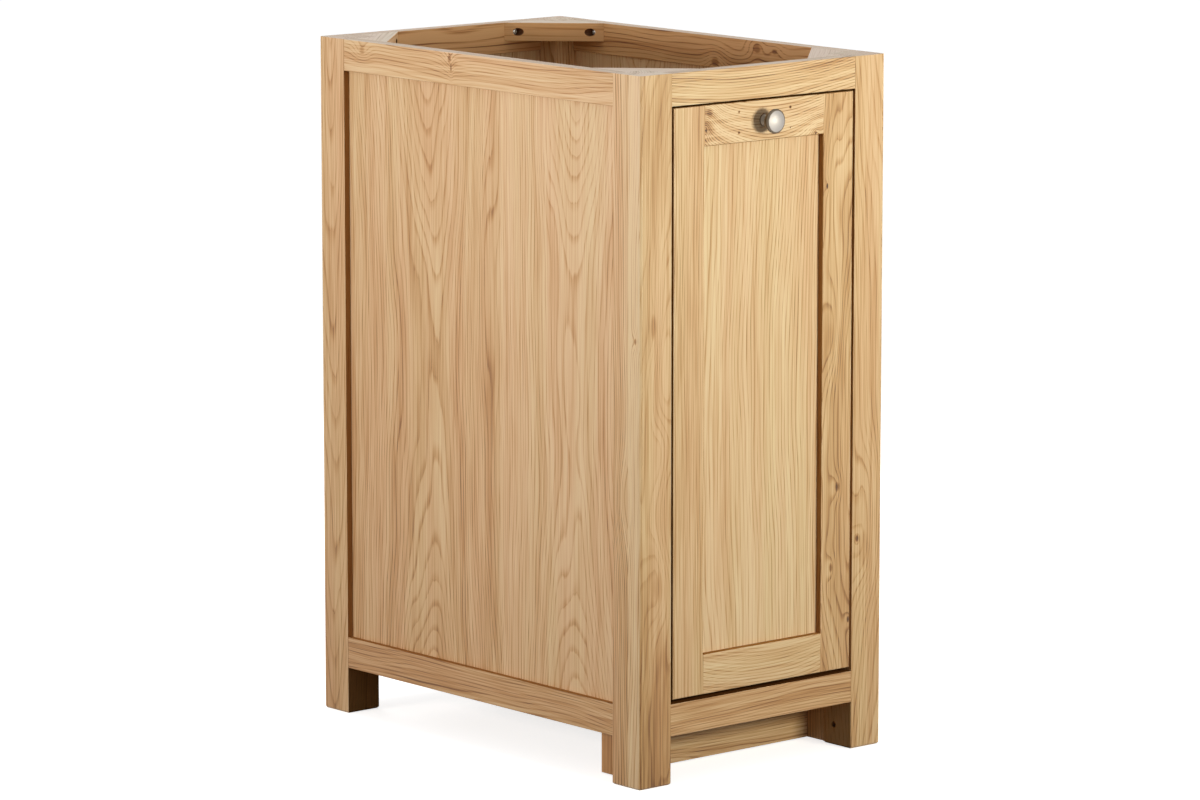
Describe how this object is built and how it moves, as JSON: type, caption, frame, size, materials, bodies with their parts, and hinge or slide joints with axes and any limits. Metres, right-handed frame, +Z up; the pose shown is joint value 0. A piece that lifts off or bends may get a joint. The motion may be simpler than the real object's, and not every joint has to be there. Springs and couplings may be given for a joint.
{
  "type": "pull-out larder cabinet",
  "caption": "Oak base cabinet on square legs, open on top, whose framed front and shelf rack slide out together on full-extension telescopic runners.",
  "frame": {"origin": "middle of the footprint, knob included, at floor level", "axes": "+X to the right seen from the front, +Y to the back, +Z up"},
  "size_m": [0.4, 0.6446, 0.87],
  "materials": {
    "oak": "oiled, planed and sanded",
    "oak_panel": "oiled, planed and sanded",
    "oak_inside": "oiled, planed and sanded",
    "satin_nickel": "satin nickel plate",
    "zinc_plated_steel": "bright zinc plate",
    "screw_steel": "bright zinc plate"
  },
  "bodies": {
    "cabinet": {"back_bottom_rail": "oak", "back_left_corner_block": "oak", "back_left_leg": "oak", "back_panel": "oak_panel", "back_right_corner_block": "oak", "back_right_leg": "oak", "back_top_rail": "oak", "corner_block_screws": "screw_steel", "floor_board": "oak_inside", "floor_screws": "screw_steel", "front_bottom_rail": "oak", "front_left_corner_block": "oak", "front_left_leg": "oak", "front_right_corner_block": "oak", "front_right_leg": "oak", "front_top_rail": "oak", "left_bottom_rail": "oak", "left_floor_cleat": "oak_inside", "left_plinth_block": "oak", "left_runner_angle": "zinc_plated_steel", "left_runner_outer": "zinc_plated_steel", "left_side_panel": "oak_panel", "left_top_rail": "oak", "right_bottom_rail": "oak", "right_floor_cleat": "oak_inside", "right_plinth_block": "oak", "right_runner_angle": "zinc_plated_steel", "right_runner_outer": "zinc_plated_steel", "right_side_panel": "oak_panel", "right_top_rail": "oak", "runner_angle_screws": "screw_steel", "toe_board": "oak"},
    "larder": {"bearer_screws": "screw_steel", "bottom_gallery_slats": "oak_inside", "bottom_shelf": "oak_inside", "door_bottom_rail": "oak", "door_left_stile": "oak", "door_panel": "oak_panel", "door_right_stile": "oak", "door_screws": "screw_steel", "door_top_rail": "oak", "knob": "satin_nickel", "knob_bolt": "screw_steel", "left_bearer": "oak_inside", "left_runner_inner": "zinc_plated_steel", "middle_gallery_slats": "oak_inside", "middle_shelf": "oak_inside", "rack_back_board": "oak_inside", "rack_front_board": "oak_inside", "right_bearer": "oak_inside", "right_runner_inner": "zinc_plated_steel", "top_gallery_slats": "oak_inside", "top_shelf": "oak_inside"},
    "left_middle_channel": {"left_runner_middle": "zinc_plated_steel"},
    "left_outer_cage": {"left_outer_roller_cage": "zinc_plated_steel"},
    "left_inner_cage": {"left_inner_roller_cage": "zinc_plated_steel"},
    "right_middle_channel": {"right_runner_middle": "zinc_plated_steel"},
    "right_outer_cage": {"right_outer_roller_cage": "zinc_plated_steel"},
    "right_inner_cage": {"right_inner_roller_cage": "zinc_plated_steel"}
  },
  "joints": [
    {"name": "larder_slide", "type": "slide", "parent": "cabinet", "child": "larder", "axis": [0, -1, 0], "range_m": [0, 0.48]},
    {"name": "left_middle_channel_slide", "type": "slide", "parent": "cabinet", "child": "left_middle_channel", "axis": [0, -1, 0], "range_m": [0, 0.24]},
    {"name": "left_outer_cage_slide", "type": "slide", "parent": "cabinet", "child": "left_outer_cage", "axis": [0, -1, 0], "range_m": [0, 0.12]},
    {"name": "left_inner_cage_slide", "type": "slide", "parent": "cabinet", "child": "left_inner_cage", "axis": [0, -1, 0], "range_m": [0, 0.36]},
    {"name": "right_middle_channel_slide", "type": "slide", "parent": "cabinet", "child": "right_middle_channel", "axis": [0, -1, 0], "range_m": [0, 0.24]},
    {"name": "right_outer_cage_slide", "type": "slide", "parent": "cabinet", "child": "right_outer_cage", "axis": [0, -1, 0], "range_m": [0, 0.12]},
    {"name": "right_inner_cage_slide", "type": "slide", "parent": "cabinet", "child": "right_inner_cage", "axis": [0, -1, 0], "range_m": [0, 0.36]}
  ],
  "couplings": [
    {"joint": "left_middle_channel_slide", "follows": "larder_slide", "ratio": 0.5},
    {"joint": "left_outer_cage_slide", "follows": "larder_slide", "ratio": 0.25},
    {"joint": "left_inner_cage_slide", "follows": "larder_slide", "ratio": 0.75},
    {"joint": "right_middle_channel_slide", "follows": "larder_slide", "ratio": 0.5},
    {"joint": "right_outer_cage_slide", "follows": "larder_slide", "ratio": 0.25},
    {"joint": "right_inner_cage_slide", "follows": "larder_slide", "ratio": 0.75}
  ]
}
